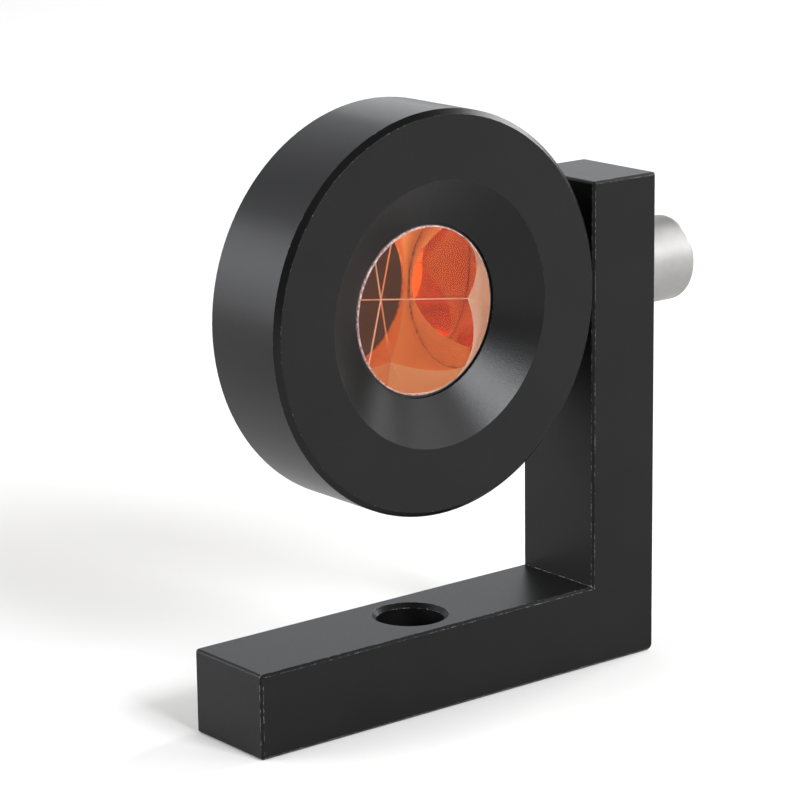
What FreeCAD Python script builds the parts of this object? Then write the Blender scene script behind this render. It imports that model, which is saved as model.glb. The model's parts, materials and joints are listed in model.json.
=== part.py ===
import FreeCAD, Part

import math
import os
import re

import Sketcher
from FreeCAD import Placement, Rotation, Vector

# A monitoring survey prism: a corner cube in a turned housing that tilts on an L-shaped bracket.
#
# Frame: origin on the axis of the base bore, in the bracket's underside. +X runs along the base
# towards the upright, +Z is up, and the prism faces -Y. The tilt axis is parallel to X, at mid depth.
# Lengths are millimetres and angles are degrees. Every size below is set by itself.
SIZES = {
    # L-shaped bracket
    "bracket_length": 77.2,
    "bracket_height": 76.9,
    "bracket_depth": 16.4,
    "base_thickness": 13.0,
    "upright_thickness": 13.0,
    "heel_round": 1.0,
    "corner_round": 0.5,
    "edge_break": 0.38,
    "base_bore_from_toe": 34.25,
    "base_bore_radius": 5.2,
    "mouth_chamfer": 0.7,
    "underside_chamfer": 0.4,
    # Tilt axis and the housing's place on it
    "axis_from_top": 15.8,
    "side_gap": 0.35,
    "front_from_axis": 9.15,
    # Turned housing
    "housing_radius": 30.25,
    "housing_thickness": 16.2,
    "rim_chamfer": 0.8,
    "cone_radius": 19.95,
    "cone_depth": 3.86,
    "aperture_clearance": 0.38,
    "aperture_land": 0.6,
    "cell_fit": 0.05,
    "ring_thread_step": 0.5,
    "boss_wall": 2.0,
    "boss_chamfer": 0.3,
    # Corner cube and its coating
    "glass_radius": 12.7,
    "glass_land": 0.88,
    "glass_bevel": 0.2,
    "glass_recess": 0.05,
    "glass_turn": 3.8,
    "coating_thickness": 0.1,
    # Prism cell, gasket and seal ring
    "gasket_thickness": 0.4,
    "gasket_width": 1.7,
    "seal_depth": 0.5,
    "bond_gap": 0.05,
    "cell_wall": 2.2,
    "seat_clearance": 0.1,
    "seat_hole_radius": 7.95,
    # Spring, slip ring and retaining ring behind the cell
    "spring_strip": 0.4,
    "spring_height": 1.6,
    "spring_width": 2.6,
    "slip_ring_thickness": 0.5,
    "ring_width": 4.4,
    "ring_thickness": 2.2,
    "thread_clearance": 0.05,
    "spanner_slot_width": 1.6,
    "spanner_slot_depth": 1.0,
    # Rear cover and its O-ring
    "cover_gap": 0.24,
    "cover_thickness": 1.8,
    "cover_wall": 1.0,
    "cover_plug_length": 2.4,
    "cover_recess_radius": 8.0,
    "seal_section": 1.0,
    "seal_groove_width": 1.2,
    "seal_groove_inset": 0.4,
    "spanner_hole_radius": 1.25,
    "spanner_hole_depth": 1.2,
    "spanner_circle_radius": 12.0,
    # Tilt axle
    "axle_head_radius": 6.72,
    "axle_head_length": 10.0,
    "axle_head_round": 1.05,
    "axle_head_gap": 0.1,
    "axle_clearance": 0.025,
    "thread_step": 0.5,
    "axle_thread_length": 8.0,
    "thread_end_chamfer": 0.5,
    "tapped_extra": 0.6,
    "key_flats": 5.0,
    "key_depth": 5.0,
    # Bushes, washers and disc springs on the axle
    "bush_bore_radius": 3.0,
    "bush_wall": 1.0,
    "bush_gap": 1.0,
    "flange_thickness": 1.0,
    "washer_radius": 6.0,
    "washer_clearance": 0.1,
    "spot_depth": 1.0,
    "spot_clearance": 0.2,
    "disc_spring_strip": 0.5,
    "disc_spring_height": 0.75,
    "thrust_washer_thickness": 0.6,
    # Grub screw that locks the axle's thread
    "lock_screw_radius": 1.5,
    "lock_screw_sink": 0.55,
    "lock_point_chamfer": 0.38,
    "lock_rear_chamfer": 0.18,
    "lock_screw_inset": 4.6,
    "lock_key_flats": 1.5,
    "lock_key_depth": 1.2,
}

# Places and sizes that follow from the values above. X is from the base bore's axis, and Y from the
# tilt axis, positive towards the rear.
DERIVED = {
    "toe_x": "-base_bore_from_toe",
    "heel_x": "bracket_length - base_bore_from_toe",
    "upright_x": "heel_x - upright_thickness",
    "disc_x": "upright_x - side_gap - housing_radius",
    "tilt_height": "bracket_height - axis_from_top",
    "housing_rear_y": "housing_thickness - front_from_axis",
    "aperture_edge_y": "cone_depth - front_from_axis",
    "aperture_radius": "glass_radius + aperture_clearance",
    "shoulder_y": "aperture_edge_y + aperture_land",
    "glass_front_y": "aperture_edge_y + glass_recess",
    "glass_height": "glass_radius * sqrt(2) + glass_land",
    "coating_offset": "coating_thickness * sqrt(3)",
    "cell_bore_radius": "glass_radius + bond_gap",
    "cell_radius": "cell_bore_radius + cell_wall",
    "pocket_radius": "cell_radius + cell_fit",
    "thread_bore_radius": "pocket_radius + ring_thread_step",
    "boss_radius": "thread_bore_radius + boss_wall",
    "cell_front_y": "shoulder_y + gasket_thickness",
    "cell_tip_y": "glass_front_y + glass_height + coating_offset + seat_clearance",
    "cell_rear_y": "cell_tip_y - seat_hole_radius / sqrt(2)",
    "slip_ring_y": "cell_rear_y + spring_height",
    "ring_y": "slip_ring_y + slip_ring_thickness",
    "ring_radius": "thread_bore_radius - thread_clearance",
    "ring_rear_y": "ring_y + ring_thickness",
    "cover_plug_y": "ring_rear_y + cover_gap",
    "boss_end_y": "cover_plug_y + cover_plug_length",
    "cover_rear_y": "boss_end_y + cover_thickness",
    "groove_rear_y": "boss_end_y - seal_groove_inset",
    "groove_front_y": "groove_rear_y - seal_groove_width",
    "groove_floor_radius": "thread_bore_radius - seal_section - thread_clearance",
    "axle_radius": "bush_bore_radius - axle_clearance",
    "axle_thread_radius": "bush_bore_radius - thread_step",
    "bush_radius": "bush_bore_radius + bush_wall",
    "spring_pair_height": "2 * disc_spring_height",
    "counterbore_depth": "spring_pair_height + thrust_washer_thickness - axle_head_gap",
    "counterbore_radius": "washer_radius + washer_clearance",
    "outer_floor_x": "upright_thickness - counterbore_depth",
    "bush_length": "(outer_floor_x - bush_gap) / 2",
    "springs_meet_x": "outer_floor_x + disc_spring_height",
    "springs_end_x": "outer_floor_x + spring_pair_height",
    "head_x": "upright_thickness + axle_head_gap",
    "seat_x": "-side_gap - spot_depth",
    "washer_bore_radius": "bush_bore_radius + washer_clearance",
    "lock_x": "housing_radius - spot_depth - lock_screw_inset",
    "lock_screw_end_y": "housing_rear_y - lock_screw_sink",
}

# The wave spring's waves, the points that draw each one, and how near two places count as the same.
WAVES = 3
SPRING_POINTS_A_WAVE = 12
SMALL = 1e-4

os.makedirs("parts", exist_ok=True)
DOC = FreeCAD.newDocument("SurveyPrism")
SHEET = DOC.addObject("Spreadsheet::Sheet", "Sizes")


def fill_sheet():
    for row, (name, size) in enumerate(SIZES.items(), start=1):
        SHEET.set(f"A{row}", name)
        SHEET.set(f"B{row}", str(size))
        SHEET.setAlias(f"B{row}", name)
    DOC.recompute()


def formula(text):
    """The words of SIZES and DERIVED in an expression, written as cells of the sheet."""

    def spelled(match):
        word = match.group(0)
        if word in SIZES:
            return f"Sizes.{word}"
        if word in DERIVED:
            return f"({formula(DERIVED[word])})"
        return word

    return re.sub(r"[a-z_]+", spelled, str(text))


def size(text):
    return float(SHEET.evalExpression(formula(text)))


def new_body(label, x="0", z="0"):
    """A sub-part whose own origin stands at x and z, at the bracket's mid depth."""
    body = DOC.addObject("PartDesign::Body", label)
    body.Label = label
    body.setExpression(".Placement.Base.x", formula(x))
    body.setExpression(".Placement.Base.z", formula(z))
    return body


def sketch_on(body, name, plane, offset="0"):
    """An empty sketch on one of the body's own origin planes, moved along the plane's normal."""
    sketch = body.newObject("Sketcher::SketchObject", name)
    support = [f for f in body.Origin.OriginFeatures if f.Role == plane][0]
    sketch.AttachmentSupport = [(support, "")]
    sketch.MapMode = "FlatFace"
    sketch.setExpression(".AttachmentOffset.Base.z", formula(offset))
    return sketch


def outline(body, name, plane, points, offset="0"):
    """A closed outline through points, each held by two dimensions from the sketch's origin."""
    sketch = sketch_on(body, name, plane, offset)
    places = [Vector(size(x), size(y), 0) for x, y in points]
    count = len(points)
    for i in range(count):
        sketch.addGeometry(Part.LineSegment(places[i], places[(i + 1) % count]), False)
    for i in range(count):
        sketch.addConstraint(Sketcher.Constraint("Coincident", i, 2, (i + 1) % count, 1))
    for i, (x, y) in enumerate(points):
        hold(sketch, "DistanceX", i, places[i].x, x)
        hold(sketch, "DistanceY", i, places[i].y, y)
    return sketch


def hold(sketch, kind, line, place, text):
    number = sketch.addConstraint(Sketcher.Constraint(kind, -1, 1, line, 1, place))
    sketch.setExpression(f"Constraints[{number}]", formula(text))


def circle(body, name, plane, x, y, radius, offset="0"):
    """A circle held by its radius and by its centre's two distances from the sketch's origin."""
    sketch = sketch_on(body, name, plane, offset)
    centre = Vector(size(x), size(y), 0)
    sketch.addGeometry(Part.Circle(centre, Vector(0, 0, 1), size(radius)), False)
    across = sketch.addConstraint(Sketcher.Constraint("DistanceX", -1, 1, 0, 3, centre.x))
    up = sketch.addConstraint(Sketcher.Constraint("DistanceY", -1, 1, 0, 3, centre.y))
    wide = sketch.addConstraint(Sketcher.Constraint("Radius", 0, size(radius)))
    sketch.setExpression(f"Constraints[{across}]", formula(x))
    sketch.setExpression(f"Constraints[{up}]", formula(y))
    sketch.setExpression(f"Constraints[{wide}]", formula(radius))
    return sketch


def hexagon(body, name, plane, flats, x="0", y="0", offset="0"):
    """A hexagon of the given width across flats, with two corners level with its centre."""
    corner = f"{flats} / sqrt(3)"
    points = []
    for i in range(6):
        turn = math.radians(60 * i)
        across = f"{x} + ({corner}) * {math.cos(turn):.9f}"
        up = f"{y} + ({corner}) * {math.sin(turn):.9f}"
        points.append((across, up))
    return outline(body, name, plane, points, offset)


def revolve(body, points, plane):
    """Turns an outline about its plane's horizontal axis. Points are (along the axis, radius)."""
    profile = outline(body, f"{body.Label}_profile", plane, points)
    turned = body.newObject("PartDesign::Revolution", f"{body.Label}_turned")
    turned.Profile = profile
    turned.ReferenceAxis = (profile, ["H_Axis"])
    turned.Angle = 360
    DOC.recompute()
    return turned


def prism_turning(label, points):
    """A piece turned about the prism's own axis. Points are (Y from the tilt axis, radius)."""
    body = new_body(label, "disc_x", "tilt_height")
    revolve(body, points, "YZ_Plane")
    return body


def axle_turning(label, points):
    """A piece turned about the tilt axis. Points are (X from the upright's inner face, radius)."""
    body = new_body(label, "upright_x", "tilt_height")
    revolve(body, points, "XZ_Plane")
    return body


def ring(start, end, inner, outer):
    """A rectangular ring's outline."""
    return [(start, inner), (end, inner), (end, outer), (start, outer)]


def pocket(body, sketch, depth, with_normal=False):
    """Cuts a sketch out of its body, and stops the build if nothing was cut."""
    before = body.Tip.Shape.Volume
    cut = body.newObject("PartDesign::Pocket", f"{sketch.Name}_cut")
    cut.Profile = sketch
    cut.Reversed = with_normal
    cut.setExpression("Length", formula(depth))
    DOC.recompute()
    if cut.Shape.Volume > before - SMALL:
        raise RuntimeError(f"{cut.Name} cuts nothing")
    return cut


def repeat(body, feature, sketch, axis, count):
    pattern = body.newObject("PartDesign::PolarPattern", f"{feature.Name}_pattern")
    pattern.Originals = [feature]
    pattern.Axis = (sketch, [axis])
    pattern.Angle = 360
    pattern.Occurrences = count
    body.Tip = pattern
    DOC.recompute()
    return pattern


def dress(body, kind, measure, text, chosen):
    """A fillet or chamfer on the edges of the body's last shape that chosen accepts."""
    base = body.Tip
    names = [f"Edge{n}" for n, edge in enumerate(base.Shape.Edges, start=1) if chosen(edge)]
    if not names:
        raise RuntimeError(f"{body.Label} has no edge for its {kind}")
    feature = body.newObject(f"PartDesign::{kind}", f"{body.Label}_{kind}")
    feature.Base = (base, names)
    feature.setExpression(measure, formula(text))
    DOC.recompute()
    return feature


def chamfer(body, text, chosen):
    return dress(body, "Chamfer", "Size", text, chosen)


def fillet(body, text, chosen):
    return dress(body, "Fillet", "Radius", text, chosen)


def circle_at(axis, place, radius):
    """Accepts the full circles of one radius that lie at one place along x, y or z."""
    along, wide = size(place), size(radius)

    def chosen(edge):
        if not isinstance(edge.Curve, Part.Circle) or len(edge.Vertexes) > 1:
            return False
        centre = getattr(edge.Curve.Center, axis)
        return abs(centre - along) < SMALL and abs(edge.Curve.Radius - wide) < SMALL

    return chosen


def corner_at(x, z):
    """Accepts the straight edge that runs front to back at x and z."""
    place_x, place_z = size(x), size(z)

    def chosen(edge):
        return all(
            abs(v.X - place_x) < SMALL and abs(v.Z - place_z) < SMALL for v in edge.Vertexes
        )

    return chosen


# ---- L-shaped bracket -------------------------------------------------------------------------


def l_bracket():
    body = new_body("l_bracket")
    side = outline(
        body,
        "bracket_side",
        "XZ_Plane",
        [
            ("toe_x", "0"),
            ("heel_x", "0"),
            ("heel_x", "bracket_height"),
            ("upright_x", "bracket_height"),
            ("upright_x", "base_thickness"),
            ("toe_x", "base_thickness"),
        ],
    )
    pad = body.newObject("PartDesign::Pad", "bracket_bar")
    pad.Profile = side
    pad.SideType = "Symmetric"
    pad.setExpression("Length", formula("bracket_depth"))
    DOC.recompute()
    fillet(body, "heel_round", corner_at("heel_x", "0"))
    outer_corners = [
        corner_at("heel_x", "bracket_height"),
        corner_at("upright_x", "bracket_height"),
        corner_at("toe_x", "base_thickness"),
        corner_at("toe_x", "0"),
    ]
    fillet(body, "corner_round", lambda edge: any(test(edge) for test in outer_corners))
    half_depth = size("bracket_depth / 2")
    chamfer(body, "edge_break", lambda edge: abs(edge.CenterOfMass.y) > half_depth - SMALL)
    bore_base(body)
    bore_upright(body)


def bore_base(body):
    bore = circle(body, "base_bore", "XY_Plane", "0", "0", "base_bore_radius")
    pocket(body, bore, "base_thickness", with_normal=True)
    chamfer(body, "mouth_chamfer", circle_at("z", "base_thickness", "base_bore_radius"))
    chamfer(body, "underside_chamfer", circle_at("z", "0", "base_bore_radius"))


def bore_upright(body):
    bush_bore = circle(
        body, "bush_bore", "YZ_Plane", "0", "tilt_height", "bush_radius", "upright_x"
    )
    pocket(body, bush_bore, "upright_thickness", with_normal=True)
    counterbore = circle(
        body, "counterbore", "YZ_Plane", "0", "tilt_height", "counterbore_radius", "heel_x"
    )
    pocket(body, counterbore, "counterbore_depth")


# ---- Bushes, springs and washers on the tilt axis ---------------------------------------------


def inner_bush():
    axle_turning(
        "inner_bush",
        [
            ("-flange_thickness", "bush_bore_radius"),
            ("bush_length", "bush_bore_radius"),
            ("bush_length", "bush_radius"),
            ("0", "bush_radius"),
            ("0", "washer_radius"),
            ("-flange_thickness", "washer_radius"),
        ],
    )


def outer_bush():
    start = "outer_floor_x - bush_length"
    axle_turning("outer_bush", ring(start, "outer_floor_x", "bush_bore_radius", "bush_radius"))


def disc_spring_inner():
    """A conical washer on the counterbore's floor. Its rim touches the outer one's."""
    axle_turning(
        "disc_spring_inner",
        [
            ("outer_floor_x", "washer_bore_radius"),
            ("outer_floor_x + disc_spring_strip", "washer_bore_radius"),
            ("springs_meet_x", "washer_radius"),
            ("springs_meet_x - disc_spring_strip", "washer_radius"),
        ],
    )


def disc_spring_outer():
    axle_turning(
        "disc_spring_outer",
        [
            ("springs_end_x - disc_spring_strip", "washer_bore_radius"),
            ("springs_end_x", "washer_bore_radius"),
            ("springs_meet_x + disc_spring_strip", "washer_radius"),
            ("springs_meet_x", "washer_radius"),
        ],
    )


def thrust_washer():
    section = ring("springs_end_x", "head_x", "washer_bore_radius", "washer_radius")
    axle_turning("thrust_washer", section)


def friction_washer():
    axle_turning(
        "friction_washer",
        ring("seat_x", "-flange_thickness", "washer_bore_radius", "washer_radius"),
    )


# ---- Tilt axle and its lock screw -------------------------------------------------------------


def tilt_axle():
    thread_end = "seat_x - axle_thread_length"
    head_end = "head_x + axle_head_length"
    thread_radius = "axle_thread_radius - axle_clearance"
    body = axle_turning(
        "tilt_axle",
        [
            (thread_end, "0"),
            (head_end, "0"),
            (head_end, "axle_head_radius"),
            ("head_x", "axle_head_radius"),
            ("head_x", "axle_radius"),
            ("seat_x", "axle_radius"),
            ("seat_x", thread_radius),
            (thread_end, thread_radius),
        ],
    )
    chamfer(body, "thread_end_chamfer", circle_at("x", thread_end, thread_radius))
    fillet(body, "axle_head_round", circle_at("x", head_end, "axle_head_radius"))
    key = hexagon(body, "axle_key", "YZ_Plane", "key_flats", offset=head_end)
    pocket(body, key, "key_depth")


def axle_lock_screw():
    body = new_body("axle_lock_screw", "disc_x + lock_x", "tilt_height")
    near = "axle_thread_radius"
    far = "lock_screw_end_y"
    outer = "lock_screw_radius - axle_clearance"
    revolve(body, ring(near, far, "0", outer), "YZ_Plane")
    chamfer(body, "lock_point_chamfer", circle_at("y", near, outer))
    chamfer(body, "lock_rear_chamfer", circle_at("y", far, outer))
    key = hexagon(body, "lock_key", "XZ_Plane", "lock_key_flats", offset=f"-({far})")
    pocket(body, key, "lock_key_depth", with_normal=True)


# ---- Prism housing ----------------------------------------------------------------------------


def prism_housing():
    thread_start = "cell_rear_y - ring_thread_step"
    body = prism_turning(
        "prism_housing",
        [
            ("-front_from_axis", "cone_radius"),
            ("aperture_edge_y", "aperture_radius"),
            ("shoulder_y", "aperture_radius"),
            ("shoulder_y", "pocket_radius"),
            (thread_start, "pocket_radius"),
            (thread_start, "thread_bore_radius"),
            ("boss_end_y", "thread_bore_radius"),
            ("boss_end_y", "boss_radius"),
            ("housing_rear_y", "boss_radius"),
            ("housing_rear_y", "housing_radius"),
            ("-front_from_axis", "housing_radius"),
        ],
    )
    chamfer(body, "rim_chamfer", circle_at("y", "-front_from_axis", "housing_radius"))
    chamfer(body, "rim_chamfer", circle_at("y", "housing_rear_y", "housing_radius"))
    chamfer(body, "boss_chamfer", circle_at("y", "boss_end_y", "boss_radius"))
    bore_side(body)


def bore_side(body):
    """The spot-face and tapped hole for the axle, and the lock screw's hole from the rear."""
    floor = "housing_radius - spot_depth"
    spot = circle(body, "spot_face", "YZ_Plane", "0", "0", "washer_radius + spot_clearance", floor)
    pocket(body, spot, "2 * spot_depth", with_normal=True)
    tapped = circle(body, "axle_thread", "YZ_Plane", "0", "0", "axle_thread_radius", floor)
    pocket(body, tapped, "axle_thread_length + tapped_extra")
    lock = circle(body, "lock_hole", "XZ_Plane", "lock_x", "0", "lock_screw_radius")
    pocket(body, lock, "housing_rear_y")


# ---- Corner cube, its coating, cell and seals -------------------------------------------------


def cube_box(label, apex_y):
    """A cube with one corner on the prism's axis at apex_y and its diagonal towards the front."""
    box = DOC.addObject("Part::Box", label)
    for side in ("Length", "Width", "Height"):
        box.setExpression(side, formula("3 * glass_height"))
    on_axis = Rotation(Vector(1, 1, 1), Vector(0, -1, 0))
    # With no turn, one of the cube's three edges points straight at the upright. The turn lowers it.
    edge = on_axis.multVec(Vector(1, 0, 0))
    level = Rotation(Vector(0, 1, 0), math.degrees(math.atan2(edge.z, edge.x)))
    turn = Rotation(Vector(0, 1, 0), size("glass_turn"))
    box.Placement = Placement(Vector(0, 0, 0), turn * level * on_axis)
    place_on_prism_axis(box, apex_y)
    return box


def place_on_prism_axis(piece, y):
    piece.setExpression(".Placement.Base.x", formula("disc_x"))
    piece.setExpression(".Placement.Base.y", formula(y))
    piece.setExpression(".Placement.Base.z", formula("tilt_height"))


def glass_rod(label, length):
    rod = DOC.addObject("Part::Cylinder", label)
    rod.setExpression("Radius", formula("glass_radius"))
    rod.setExpression("Height", formula(length))
    rod.Placement = Placement(Vector(0, 0, 0), Rotation(Vector(0, 0, 1), Vector(0, 1, 0)))
    place_on_prism_axis(rod, "glass_front_y")
    return rod


def joined(kind, label, base, tool):
    result = DOC.addObject(f"Part::{kind}", label)
    result.Label = label
    result.Base = base
    result.Tool = tool
    DOC.recompute()
    return result


def corner_cube():
    """The glass: a rod whose rear end is a cube's corner, with a ground bevel round its face."""
    rod = glass_rod("glass_blank", "glass_height")
    box = cube_box("glass_faces", "glass_front_y + glass_height")
    cut = joined("Common", "glass_unbevelled", rod, box)
    bevel = DOC.addObject("Part::Chamfer", "corner_cube")
    bevel.Label = "corner_cube"
    bevel.Base = cut
    front = size("glass_front_y")
    edges = [n for n, e in enumerate(cut.Shape.Edges, start=1) if e.BoundBox.YMax < front + SMALL]
    bevel.Edges = [(n, size("glass_bevel"), size("glass_bevel")) for n in edges]
    DOC.recompute()


def mirror_coating():
    """The copper layer on the cube's three rear faces."""
    rod = glass_rod("coating_blank", "glass_height + coating_offset")
    outer = cube_box("coating_faces", "glass_front_y + glass_height + coating_offset")
    inner = cube_box("coating_inside", "glass_front_y + glass_height")
    block = joined("Common", "coating_block", rod, outer)
    joined("Cut", "mirror_coating", block, inner)


def prism_cell():
    """The carrier: a sleeve round the glass whose conical seat touches the cube's three edges."""
    seat_start = "cell_tip_y - cell_bore_radius / sqrt(2)"
    body = prism_turning(
        "prism_cell",
        [
            ("cell_front_y", "cell_bore_radius"),
            (seat_start, "cell_bore_radius"),
            ("cell_rear_y", "seat_hole_radius"),
            ("cell_rear_y", "cell_radius"),
            ("cell_front_y", "cell_radius"),
        ],
    )
    chamfer(body, "edge_break", circle_at("y", "cell_rear_y", "cell_radius"))


def front_gasket():
    inner = "cell_radius - gasket_width"
    prism_turning("front_gasket", ring("shoulder_y", "cell_front_y", inner, "cell_radius"))


def glass_seal():
    start = "cell_front_y - seal_depth"
    prism_turning("glass_seal", ring(start, "cell_front_y", "glass_radius", "aperture_radius"))


# ---- What holds the cell in place -------------------------------------------------------------


def wave_spring():
    """A flat strip bent into waves round the prism's axis, touching the cell and the slip ring."""
    strip = size("spring_strip")
    swing = (size("spring_height") - strip) / 2
    middle = size("cell_rear_y") + swing
    outer = size("cell_radius")
    inner = outer - size("spring_width")
    edges = [wave_curve(radius, middle, swing) for radius in (inner, outer)]
    face = Part.makeRuledSurface(*edges)
    spring = DOC.addObject("Part::Feature", "wave_spring")
    spring.Label = "wave_spring"
    spring.Shape = face.extrude(Vector(0, strip, 0))
    spring.Placement = Placement(Vector(size("disc_x"), 0, size("tilt_height")), Rotation())


def wave_curve(radius, middle, swing):
    count = WAVES * SPRING_POINTS_A_WAVE
    points = []
    for i in range(count):
        turn = 2 * math.pi * i / count
        y = middle + swing * math.cos(WAVES * turn)
        points.append(Vector(radius * math.cos(turn), y, radius * math.sin(turn)))
    curve = Part.BSplineCurve()
    curve.interpolate(Points=points, PeriodicFlag=True)
    return curve.toShape()


def slip_ring():
    inner = "ring_radius - ring_width"
    prism_turning("slip_ring", ring("slip_ring_y", "ring_y", inner, "pocket_radius"))


def retaining_ring():
    inner = "ring_radius - ring_width"
    body = prism_turning("retaining_ring", ring("ring_y", "ring_rear_y", inner, "ring_radius"))
    half_slot = "spanner_slot_width / 2"
    slot = outline(
        body,
        "spanner_slot",
        "XZ_Plane",
        [
            (f"-{half_slot}", "0"),
            (half_slot, "0"),
            (half_slot, "thread_bore_radius"),
            (f"-{half_slot}", "thread_bore_radius"),
        ],
        offset="-ring_rear_y",
    )
    cut = pocket(body, slot, "spanner_slot_depth", with_normal=True)
    repeat(body, cut, slot, "N_Axis", 2)


def cover_seal():
    seal = DOC.addObject("Part::Torus", "cover_seal")
    seal.Label = "cover_seal"
    middle = "thread_bore_radius - (seal_section + thread_clearance) / 2"
    seal.setExpression("Radius1", formula(middle))
    seal.setExpression("Radius2", formula("seal_section / 2"))
    seal.Placement = Placement(Vector(0, 0, 0), Rotation(Vector(0, 0, 1), Vector(0, 1, 0)))
    place_on_prism_axis(seal, "(groove_front_y + groove_rear_y) / 2")


def rear_cover():
    body = prism_turning(
        "rear_cover",
        [
            ("cover_rear_y - cover_wall", "0"),
            ("cover_rear_y", "0"),
            ("cover_rear_y", "boss_radius"),
            ("boss_end_y", "boss_radius"),
            ("boss_end_y", "ring_radius"),
            ("groove_rear_y", "ring_radius"),
            ("groove_rear_y", "groove_floor_radius"),
            ("groove_front_y", "groove_floor_radius"),
            ("groove_front_y", "ring_radius"),
            ("cover_plug_y", "ring_radius"),
            ("cover_plug_y", "cover_recess_radius"),
            ("cover_rear_y - cover_wall", "cover_recess_radius"),
        ],
    )
    chamfer(body, "edge_break", circle_at("y", "cover_rear_y", "boss_radius"))
    hole = circle(
        body,
        "spanner_hole",
        "XZ_Plane",
        "spanner_circle_radius",
        "0",
        "spanner_hole_radius",
        "-cover_rear_y",
    )
    cut = pocket(body, hole, "spanner_hole_depth", with_normal=True)
    repeat(body, cut, hole, "N_Axis", 2)


# ---- Build and write --------------------------------------------------------------------------


def export(node):
    shape = DOC.getObjectsByLabel(node)[0].Shape
    if shape.isNull() or not shape.isValid() or not shape.Solids:
        raise RuntimeError(f"{node} has no valid solid")
    shape.exportStep(f"parts/{node}.step")
    print(f"{node}: {len(shape.Solids)} solid, {shape.Volume:.1f} mm3, {shape.BoundBox}")


# Each sub-part is made by the function of its own name.
SUBPARTS = (
    l_bracket,
    inner_bush,
    outer_bush,
    disc_spring_inner,
    disc_spring_outer,
    thrust_washer,
    friction_washer,
    tilt_axle,
    axle_lock_screw,
    prism_housing,
    corner_cube,
    mirror_coating,
    prism_cell,
    front_gasket,
    glass_seal,
    wave_spring,
    slip_ring,
    retaining_ring,
    cover_seal,
    rear_cover,
)

fill_sheet()
for build in SUBPARTS:
    build()
DOC.recompute()

for item in DOC.Objects:
    if {"Invalid", "Error"} & set(item.State):
        raise RuntimeError(f"{item.Label} is in state {item.State}")

for build in SUBPARTS:
    export(build.__name__)
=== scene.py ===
import json
import math

import bmesh
import bpy
from mathutils import Matrix, Vector

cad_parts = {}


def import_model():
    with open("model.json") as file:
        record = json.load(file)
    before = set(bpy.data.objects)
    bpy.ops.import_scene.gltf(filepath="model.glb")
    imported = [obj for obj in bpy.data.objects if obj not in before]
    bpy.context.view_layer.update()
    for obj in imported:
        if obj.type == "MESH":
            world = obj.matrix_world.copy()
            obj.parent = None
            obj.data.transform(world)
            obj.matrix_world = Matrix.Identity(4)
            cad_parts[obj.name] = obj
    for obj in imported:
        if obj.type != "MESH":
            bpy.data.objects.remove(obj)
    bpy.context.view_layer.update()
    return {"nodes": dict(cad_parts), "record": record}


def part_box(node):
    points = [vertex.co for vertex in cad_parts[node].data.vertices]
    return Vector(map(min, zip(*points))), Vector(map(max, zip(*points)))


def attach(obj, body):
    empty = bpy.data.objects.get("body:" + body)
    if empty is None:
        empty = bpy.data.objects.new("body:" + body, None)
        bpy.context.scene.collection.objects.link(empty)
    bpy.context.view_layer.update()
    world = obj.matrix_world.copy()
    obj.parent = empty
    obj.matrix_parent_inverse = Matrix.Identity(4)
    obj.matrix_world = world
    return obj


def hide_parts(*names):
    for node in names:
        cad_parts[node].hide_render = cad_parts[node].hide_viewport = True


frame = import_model()

# Lengths are in metres, as in the frame. The prism looks towards -Y and tilts about X.
MM = 0.001

SEAL_CLEARANCE = 0.04 * MM
GLASS_LOW, GLASS_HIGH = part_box("corner_cube")
GLASS_CENTRE = (GLASS_LOW + GLASS_HIGH) / 2
GLASS_RADIUS = (GLASS_HIGH.x - GLASS_LOW.x) / 2 - SEAL_CLEARANCE
GLASS_FRONT = GLASS_LOW.y
GLASS_APEX = GLASS_HIGH.y


# ---- Node trees -------------------------------------------------------------------------------

# The noise lies mostly between these two values, so a ramp between them uses its whole range.
NOISE_LOW, NOISE_HIGH = 0.3, 0.7
BEVEL_SAMPLES = 6
# The Mix node gives its colour sockets the same names as its others, so they are found by place.
MIX_FACTOR, MIX_FIRST, MIX_SECOND, MIX_RESULT = 0, 6, 7, 2


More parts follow.
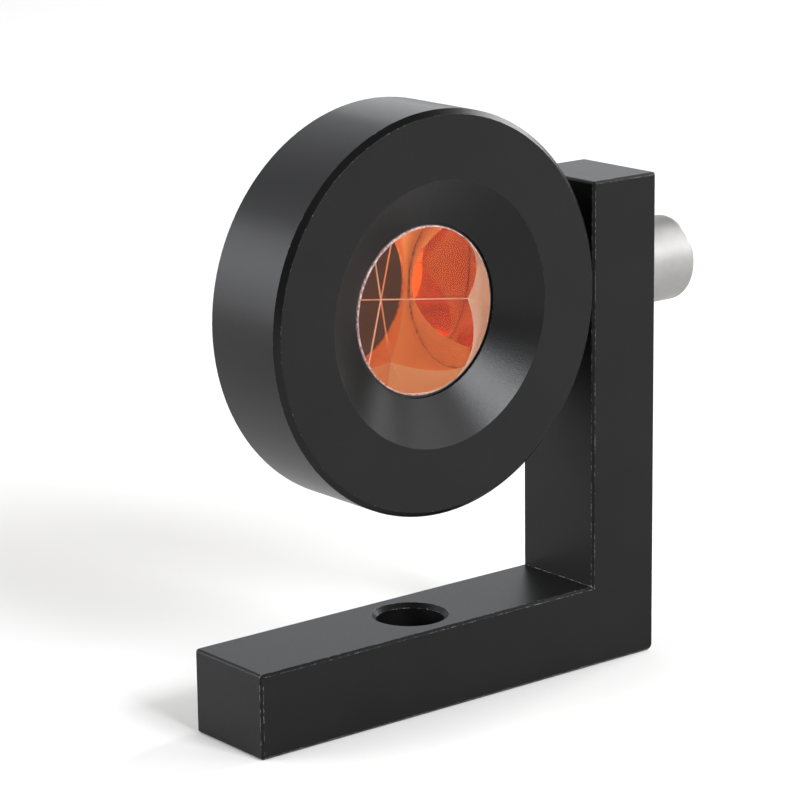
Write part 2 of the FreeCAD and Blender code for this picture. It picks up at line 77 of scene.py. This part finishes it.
class Nodes:
    """A material's node tree, with short calls for the nodes that the recipes below share."""

    def __init__(self, name):
        self.material = bpy.data.materials.new(name)
        self.material.use_nodes = True
        self.tree = self.material.node_tree
        self.shader = self.tree.nodes["Principled BSDF"]

    def add(self, kind, **settings):
        node = self.tree.nodes.new(kind)
        for name, value in settings.items():
            setattr(node, name, value)
        return node

    def link(self, source, target):
        self.tree.links.new(source, target)

    def put(self, socket, value):
        """Links a socket to another, or sets it to a number or a colour."""
        if isinstance(value, bpy.types.NodeSocket):
            self.link(value, socket)
        elif isinstance(value, tuple):
            socket.default_value = (*value, 1.0)
        else:
            socket.default_value = value

    def set(self, **values):
        """Sets the shader's sockets, whose names are written with underscores for spaces."""
        for name, value in values.items():
            self.put(self.shader.inputs[name.replace("_", " ")], value)

    def place(self):
        return self.add("ShaderNodeTexCoord").outputs["Object"]

    def noise(self, scale, detail=3.0, roughness=0.55, vector=None):
        """Noise with the given number of features per metre."""
        node = self.add("ShaderNodeTexNoise")
        node.inputs["Scale"].default_value = scale
        node.inputs["Detail"].default_value = detail
        node.inputs["Roughness"].default_value = roughness
        self.link(vector or self.place(), node.inputs["Vector"])
        return node.outputs["Fac"]

    def ramp(self, source, low, high, start=NOISE_LOW, end=NOISE_HIGH):
        """A ramp from one grey or colour to another, as the source goes from start to end."""
        node = self.add("ShaderNodeValToRGB")
        for stop, place, value in zip(node.color_ramp.elements, (start, end), (low, high)):
            stop.position = place
            colour = value if isinstance(value, tuple) else (value, value, value)
            stop.color = (*colour, 1.0)
        self.link(source, node.inputs["Fac"])
        return node.outputs["Color"]

    def span(self, source, low, high):
        """A number from low to high, as the source goes from 0 to 1."""
        node = self.add("ShaderNodeMapRange")
        self.link(source, node.inputs["Value"])
        node.inputs["To Min"].default_value = low
        node.inputs["To Max"].default_value = high
        return node.outputs["Result"]

    def combine(self, operation, first, second):
        node = self.add("ShaderNodeMath", operation=operation)
        self.put(node.inputs[0], first)
        self.put(node.inputs[1], second)
        return node.outputs["Value"]

    def mix(self, amount, first, second):
        node = self.add("ShaderNodeMix", data_type="RGBA")
        self.put(node.inputs[MIX_FACTOR], amount)
        self.put(node.inputs[MIX_FIRST], first)
        self.put(node.inputs[MIX_SECOND], second)
        return node.outputs[MIX_RESULT]

    def rounded(self, radius):
        """The surface's normal, turned as if its edges were rounded."""
        node = self.add("ShaderNodeBevel", samples=BEVEL_SAMPLES)
        node.inputs["Radius"].default_value = radius
        return node.outputs["Normal"]

    def edge(self, radius):
        """0 on flat faces, and more towards sharp edges."""
        geometry = self.add("ShaderNodeNewGeometry")
        dot = self.add("ShaderNodeVectorMath", operation="DOT_PRODUCT")
        self.link(self.rounded(radius), dot.inputs[0])
        self.link(geometry.outputs["Normal"], dot.inputs[1])
        return self.combine("SUBTRACT", 1.0, dot.outputs["Value"])

    def bump(self, height, strength, distance, edge_radius=None):
        """Fine relief, over edges rounded by the given radius."""
        node = self.add("ShaderNodeBump")
        node.inputs["Strength"].default_value = strength
        node.inputs["Distance"].default_value = distance
        self.link(height, node.inputs["Height"])
        if edge_radius:
            self.link(self.rounded(edge_radius), node.inputs["Normal"])
        self.link(node.outputs["Normal"], self.shader.inputs["Normal"])


# ---- Materials --------------------------------------------------------------------------------

GLASS_IOR = 1.517
# An anti-reflection coating leaves this much of the glass's reflection.
COATED_REFLECTION = 0.35
ANODISED_DARK, ANODISED_LIGHT = 0.002, 0.0035
BARE_METAL = (0.42, 0.41, 0.40)
SPECK_FADE = 0.12
COPPER = (0.985, 0.6, 0.31)
# How far the tone and the roughness of a plain material vary, as a share of each.
TONE_SPREAD = 0.2
ROUGHNESS_SPREAD = 0.15


def anodised(name, rough_low, rough_high, speck_start, ior):
    """Black anodised aluminium, blasted to a fine satin, with edges worn to bare metal in specks.

    The specks are where a noise is above speck_start, so a higher one gives fewer of them.
    """
    n = Nodes(name)
    clouds = n.noise(scale=90.0, detail=4.0)
    grain = n.noise(scale=3400.0)
    tone = n.ramp(clouds, ANODISED_DARK, ANODISED_LIGHT)
    speckle = n.noise(scale=1500.0, detail=5.0, roughness=0.7)
    specks = n.ramp(speckle, 0.0, 1.0, start=speck_start, end=speck_start + SPECK_FADE)
    edges = n.ramp(n.edge(radius=0.16 * MM), 0.0, 1.0, start=0.02, end=0.12)
    worn = n.combine("MULTIPLY", specks, edges)
    colour = n.mix(worn, tone, BARE_METAL)
    n.set(Base_Color=colour, Roughness=n.span(grain, rough_low, rough_high), IOR=ior)
    n.bump(grain, strength=0.3, distance=0.045 * MM, edge_radius=0.06 * MM)
    return n.material


def copper_mirror(name):
    n = Nodes(name)
    n.set(Base_Color=COPPER, Metallic=1.0, Roughness=0.0)
    return n.material


def ground_copper(name, dark, light):
    """Ground glass with copper behind it, as on the cube's side and its blunted edges."""
    n = Nodes(name)
    grain = n.noise(scale=4000.0, detail=2.0)
    n.set(Base_Color=n.ramp(grain, dark, light), Roughness=0.6)
    return n.material


def painted_side(name):
    """Dark paint round the cube's side, with the ground copper showing through in specks."""
    n = Nodes(name)
    grain = n.noise(scale=2600.0, detail=4.0, roughness=0.75)
    colour = n.ramp(grain, (0.02, 0.014, 0.014), (0.42, 0.30, 0.29), start=0.44, end=0.62)
    n.set(Base_Color=colour, Roughness=0.6)
    n.bump(grain, strength=0.4, distance=0.02 * MM)
    return n.material


# Matt near-black that paints shade, as a lining on the aperture's wall in the deep gap round the
# glass.
def painted_shade_black(name):
    n = Nodes(name)
    grain = n.noise(scale=2600.0)
    n.set(Base_Color=n.ramp(grain, 0.002, 0.004), Roughness=0.8, Specular_IOR_Level=0.1)
    return n.material


def ground_bevel(name):
    """The ground chamfer round the cube's front face, which lets some light through."""
    n = Nodes(name)
    grain = n.noise(scale=2200.0, detail=4.0, roughness=0.7)
    colour = n.ramp(grain, (0.26, 0.16, 0.155), (0.92, 0.74, 0.72), start=0.42, end=0.58)
    n.set(Base_Color=colour, Roughness=0.5, Transmission_Weight=0.4, IOR=GLASS_IOR)
    n.bump(grain, strength=0.5, distance=0.02 * MM)
    return n.material


def optical_glass(name):
    n = Nodes(name)
    n.set(Base_Color=(1.0, 1.0, 1.0), Roughness=0.0, Transmission_Weight=1.0, IOR=GLASS_IOR)
    n.set(Specular_Tint=(COATED_REFLECTION, COATED_REFLECTION, COATED_REFLECTION))
    return n.material


def turned_steel(name):
    """Stainless steel with fine turning lines round the tilt axis."""
    n = Nodes(name)
    split = n.add("ShaderNodeSeparateXYZ")
    n.link(n.place(), split.inputs["Vector"])
    along = n.add("ShaderNodeCombineXYZ")
    n.link(split.outputs["X"], along.inputs["X"])
    lines = n.noise(scale=9000.0, roughness=0.6, vector=along.outputs["Vector"])
    clouds = n.noise(scale=300.0)
    tone = n.ramp(clouds, (0.30, 0.293, 0.283), (0.34, 0.336, 0.326))
    n.set(Base_Color=tone, Metallic=1.0, Roughness=n.ramp(lines, 0.48, 0.60))
    n.bump(lines, strength=0.12, distance=0.01 * MM, edge_radius=0.08 * MM)
    return n.material


def plain_metal(name, colour, roughness):
    n = Nodes(name)
    grain = n.noise(scale=1800.0)
    low, high = roughness * (1 - ROUGHNESS_SPREAD), roughness * (1 + ROUGHNESS_SPREAD)
    n.set(Base_Color=colour, Metallic=1.0, Roughness=n.ramp(grain, low, high))
    n.bump(grain, strength=0.08, distance=0.01 * MM, edge_radius=0.05 * MM)
    return n.material


def soft_material(name, colour, roughness):
    """Rubber or plastic."""
    n = Nodes(name)
    grain = n.noise(scale=2200.0)
    low = tuple(c * (1 - TONE_SPREAD) for c in colour)
    high = tuple(c * (1 + TONE_SPREAD) for c in colour)
    n.set(Base_Color=n.ramp(grain, low, high), Roughness=roughness)
    n.bump(grain, strength=0.15, distance=0.015 * MM)
    return n.material


# ---- The corner cube --------------------------------------------------------------------------

RING_SEGMENTS = 256
GLASS_BEVEL = 0.2 * MM
# How far the blunted edges lie from the sharp ones.
EDGE_GROUND = 0.1 * MM
# Room between the cube and the coating behind it.
MIRROR_GAP = 0.02 * MM
# The part along Y of the outward normal of each of a corner cube's rear faces.
REAR_FACE_Y = 1 / math.sqrt(3)
REAR_FACE_TOLERANCE = 0.07
SAME_DIRECTION = 0.9
CUT_TOLERANCE = 1e-9

# The paint round the cube's side and the lining of the aperture are thin sleeves; the lining is
# matt black to paint the shade that falls on the aperture's wall, deep in the gap round the
# glass.
PAINT = 0.02 * MM
PAINT_GAP = 0.005 * MM
# How far behind the glass's front each of them ends.
SIDE_PAINT_END = 0.8 * MM
SHADE_LINING_END = 0.42 * MM
# The lining lies this far outside the CAD glass, just clear of the aperture's wall, whose shade
# it paints.
APERTURE_CLEARANCE = 0.37 * MM


def cube_axes():
    """Outward normals of the cube's three rear faces, read from the CAD node's own faces."""
    found = []
    for face in frame["nodes"]["corner_cube"].data.polygons:
        normal = Vector(face.normal)
        is_rear = abs(normal.y - REAR_FACE_Y) < REAR_FACE_TOLERANCE
        if is_rear and not any(normal.dot(known) > SAME_DIRECTION for known in found):
            found.append(normal.normalized())
    return found


def cut(mesh, point, normal, slot):
    """Cuts away what lies beyond a plane, and closes the cut with a face in the given slot."""
    made = bmesh.ops.bisect_plane(
        mesh,
        geom=mesh.verts[:] + mesh.edges[:] + mesh.faces[:],
        plane_co=point,
        plane_no=normal,
        clear_outer=True,
        dist=CUT_TOLERANCE,
    )
    rim = [e for e in made["geom_cut"] if isinstance(e, bmesh.types.BMEdge)]
    closed = bmesh.ops.contextual_create(mesh, geom=rim)
    for face in closed["faces"]:
        face.material_index = slot
        face.smooth = False


def ring_of_points(mesh, y, radius):
    """A circle of points round the prism's axis."""
    ring = []
    for i in range(RING_SEGMENTS):
        turn = 2 * math.pi * i / RING_SEGMENTS
        x = GLASS_CENTRE.x + radius * math.cos(turn)
        z = GLASS_CENTRE.z + radius * math.sin(turn)
        ring.append(mesh.verts.new((x, y, z)))
    return ring


def wall(mesh, first, second, slot=0):
    """Smooth faces between two rings of points."""
    for i in range(RING_SEGMENTS):
        j = (i + 1) % RING_SEGMENTS
        face = mesh.faces.new((first[i], first[j], second[j], second[i]))
        face.material_index = slot
        face.smooth = True


def linked_object(name, mesh, materials):
    """Makes a mesh into an object in the scene, and frees it."""
    data = bpy.data.meshes.new(name)
    mesh.to_mesh(data)
    mesh.free()
    for material in materials:
        data.materials.append(material)
    piece = bpy.data.objects.new(name, data)
    bpy.context.scene.collection.objects.link(piece)
    return piece


def prism_glass():
    """The cube, as a bevelled rod whose rear is cut to three mirrors with blunted edges."""
    slots = {
        "glass": optical_glass("polished_glass"),
        "ground": ground_copper("ground_side", (0.96, 0.81, 0.74), (0.99, 0.89, 0.82)),
        "bevel": ground_bevel("ground_bevel"),
        "mirror": copper_mirror("coated_faces"),
        "edge": ground_copper("ground_edges", (0.58, 0.32, 0.24), (0.66, 0.39, 0.30)),
    }
    glass, ground, bevel, mirror, edge = range(len(slots))
    mesh = bmesh.new()
    front = ring_of_points(mesh, GLASS_FRONT, GLASS_RADIUS - GLASS_BEVEL)
    shoulder = ring_of_points(mesh, GLASS_FRONT + GLASS_BEVEL, GLASS_RADIUS)
    rear = ring_of_points(mesh, GLASS_APEX, GLASS_RADIUS)
    mesh.faces.new(front).material_index = glass
    mesh.faces.new(rear).material_index = mirror
    wall(mesh, front, shoulder, bevel)
    wall(mesh, shoulder, rear, ground)
    bmesh.ops.recalc_face_normals(mesh, faces=mesh.faces[:])

    apex = Vector((GLASS_CENTRE.x, GLASS_APEX - MIRROR_GAP, GLASS_CENTRE.z))
    normals = cube_axes()
    for normal in normals:
        cut(mesh, apex, normal, mirror)
    for index, normal in enumerate(normals):
        between = (normal + normals[(index + 1) % len(normals)]).normalized()
        cut(mesh, apex - between * EDGE_GROUND, between, edge)

    piece = linked_object("prism_glass", mesh, slots.values())
    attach(piece, "prism_head")
    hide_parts("corner_cube")


def sleeve(name, inner, outer, front, rear, material):
    """A thin closed tube round the prism's axis."""
    mesh = bmesh.new()
    corners = ((front, inner), (front, outer), (rear, outer), (rear, inner))
    rings = [ring_of_points(mesh, y, radius) for y, radius in corners]
    for first, second in zip(rings, rings[1:] + rings[:1]):
        wall(mesh, first, second)
    bmesh.ops.recalc_face_normals(mesh, faces=mesh.faces[:])
    piece = linked_object(name, mesh, [material])
    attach(piece, "prism_head")


def paint():
    """Paint round the cube's side, and the matt black lining of the aperture round it, which
    paints the shade on the aperture's wall.
    """
    inner = GLASS_RADIUS + PAINT_GAP
    front = GLASS_FRONT + GLASS_BEVEL
    rear = GLASS_FRONT + SIDE_PAINT_END
    sleeve("side_paint", inner, inner + PAINT, front, rear, painted_side("painted_side"))
    outer = GLASS_RADIUS + SEAL_CLEARANCE + APERTURE_CLEARANCE - PAINT_GAP
    rear = GLASS_FRONT + SHADE_LINING_END
    # Painted shade: a matt black sleeve that darkens the aperture's wall in the gap round the
    # glass.
    material = painted_shade_black("painted_shade_lining")
    sleeve("painted_shade_lining", outer - PAINT, outer, GLASS_FRONT, rear, material)


# ---- Materials on the CAD nodes ---------------------------------------------------------------


def dress_nodes():
    """Gives each CAD node the material that its record names.

    The cube's own slot isn't among them, as prism_glass takes that node's place.
    """
    by_slot = {
        "anodised_bracket": anodised(
            "anodised_bracket", rough_low=0.34, rough_high=0.44, speck_start=0.49, ior=1.268
        ),
        "anodised_housing": anodised(
            "anodised_housing", rough_low=0.26, rough_high=0.35, speck_start=0.56, ior=1.285
        ),
        "stainless": turned_steel("stainless"),
        "blackened_steel": plain_metal("blackened_steel", (0.06, 0.06, 0.06), roughness=0.4),
        "spring_steel": plain_metal("spring_steel", (0.55, 0.55, 0.56), roughness=0.3),
        "steel_washer": plain_metal("steel_washer", (0.6, 0.6, 0.6), roughness=0.35),
        "bush_bronze": plain_metal("bush_bronze", (0.55, 0.36, 0.16), roughness=0.45),
        "washer_polymer": soft_material("washer_polymer", (0.75, 0.74, 0.7), roughness=0.5),
        "cell_polymer": soft_material("cell_polymer", (0.02, 0.02, 0.02), roughness=0.5),
        "black_rubber": soft_material("black_rubber", (0.012, 0.012, 0.012), roughness=0.7),
        "copper_mirror": copper_mirror("copper_mirror"),
    }
    for entry in frame["record"]["subparts"]:
        if entry["material_slot"] in by_slot:
            node = frame["nodes"][entry["node"]]
            node.material_slots[0].material = by_slot[entry["material_slot"]]


# ---- Floor, light and camera ------------------------------------------------------------------

FLOOR_RADIUS = 1.1
FLOOR_SEGMENTS = 96
# The floor lies just under the bracket, so that their faces don't meet in one plane.
FLOOR_DROP = 0.05 * MM
FLOOR_COLOUR = (0.76, 0.752, 0.735)

# Degrees, where azimuth runs from the prism's front towards the upright's side.
CAMERA_AZIMUTH = -38.747
CAMERA_ELEVATION = 14.182
CAMERA_ROLL = -0.721
CAMERA_TARGET = Vector((-0.00802, -0.0082, 0.04943))
CAMERA_DISTANCE = 0.464825
# The sensor and the lens are in millimetres.
SENSOR_WIDTH = 36.0
CAMERA_LENS = 143.69508
CLIP_START, CLIP_END = 0.01, 20.0

LIT_POINT = Vector((0.005, 0.0, 0.045))
LIGHT_DISTANCE = 1.2
COOL = (0.95, 0.96, 1.0)
NEUTRAL = (1.0, 1.0, 1.0)
# Name, azimuth and elevation in degrees, side in metres, power in watts, tint.
SOFTBOXES = (
    ("key", 3, 29, 0.5, 19.5, COOL),
    ("front_right", 45, 24, 0.6, 4.8, NEUTRAL),
    ("right", 90, 24, 0.6, 12.0, NEUTRAL),
    ("left_low", -105, 11, 0.7, 12.5, NEUTRAL),
    ("back_left", -135, 28, 0.9, 4.6, COOL),
    ("back_left_low", -135, 11, 0.7, 6.0, COOL),
    ("back_right", 135, 19, 0.6, 1.9, COOL),
    ("back", 168, 24, 0.8, 1.9, COOL),
    ("back_top", 180, 52, 0.9, 1.1, COOL),
)
WORLD_LIGHT = 0.065
WORLD_TINT = (1.0, 0.99, 0.98)
BACKDROP = (1.0, 1.0, 1.0)

# The glass shows mirror images of mirror images, so light needs many bounces in it.
BOUNCES = {
    "max_bounces": 32,
    "glossy_bounces": 16,
    "transmission_bounces": 16,
    "diffuse_bounces": 6,
}


def direction(azimuth, elevation):
    """A unit vector towards an azimuth and an elevation in degrees."""
    turn, rise = math.radians(azimuth), math.radians(elevation)
    level = math.cos(rise)
    return Vector((math.sin(turn) * level, -math.cos(turn) * level, math.sin(rise)))


def floor():
    mesh = bmesh.new()
    bmesh.ops.create_circle(mesh, cap_ends=True, segments=FLOOR_SEGMENTS, radius=FLOOR_RADIUS)
    n = Nodes("floor")
    n.set(Base_Color=FLOOR_COLOUR, Roughness=0.9, Specular_IOR_Level=0.2)
    piece = linked_object("floor", mesh, [n.material])
    piece.location.z = -FLOOR_DROP


def softbox(name, azimuth, elevation, side, power, tint):
    """A square lamp that faces the lit point."""
    data = bpy.data.lights.new(name, "AREA")
    data.shape = "SQUARE"
    data.size = side
    data.energy = power
    data.color = tint
    lamp = bpy.data.objects.new(name, data)
    towards = direction(azimuth, elevation)
    lamp.location = LIT_POINT + towards * LIGHT_DISTANCE
    lamp.rotation_euler = (-towards).to_track_quat("-Z", "Y").to_euler()
    bpy.context.scene.collection.objects.link(lamp)


def world():
    """Dim and even light from all round, behind a white backdrop that only the camera sees."""
    made = bpy.data.worlds.new("studio")
    made.use_nodes = True
    tree = made.node_tree
    light = tree.nodes["Background"]
    light.inputs["Color"].default_value = (*WORLD_TINT, 1.0)
    light.inputs["Strength"].default_value = WORLD_LIGHT
    backdrop = tree.nodes.new("ShaderNodeBackground")
    backdrop.inputs["Color"].default_value = (*BACKDROP, 1.0)
    path = tree.nodes.new("ShaderNodeLightPath")
    mix = tree.nodes.new("ShaderNodeMixShader")
    tree.links.new(path.outputs["Is Camera Ray"], mix.inputs["Fac"])
    tree.links.new(light.outputs["Background"], mix.inputs[1])
    tree.links.new(backdrop.outputs["Background"], mix.inputs[2])
    tree.links.new(mix.outputs["Shader"], tree.nodes["World Output"].inputs["Surface"])
    bpy.context.scene.world = made


def camera():
    """A camera at the photo's angle, turned by its roll about the line of sight."""
    back = direction(CAMERA_AZIMUTH, CAMERA_ELEVATION)
    right = (-back).cross(Vector((0, 0, 1))).normalized()
    up = right.cross(-back)
    roll = math.radians(CAMERA_ROLL)
    turned_right = right * math.cos(roll) + up * math.sin(roll)
    turned_up = up * math.cos(roll) - right * math.sin(roll)
    data = bpy.data.cameras.new("camera")
    data.sensor_width = SENSOR_WIDTH
    data.lens = CAMERA_LENS
    data.clip_start = CLIP_START
    data.clip_end = CLIP_END
    view = bpy.data.objects.new("camera", data)
    turn = Matrix((turned_right, turned_up, back)).transposed()
    place = Matrix.Translation(CAMERA_TARGET + back * CAMERA_DISTANCE)
    view.matrix_world = place @ turn.to_4x4()
    bpy.context.scene.collection.objects.link(view)
    bpy.context.scene.camera = view


# ---- The scene --------------------------------------------------------------------------------

prism_glass()
paint()
dress_nodes()
floor()
world()
camera()
for softbox_entry in SOFTBOXES:
    softbox(*softbox_entry)
for kind, count in BOUNCES.items():
    setattr(bpy.context.scene.cycles, kind, count)
bpy.context.scene.view_settings.view_transform = "Standard"
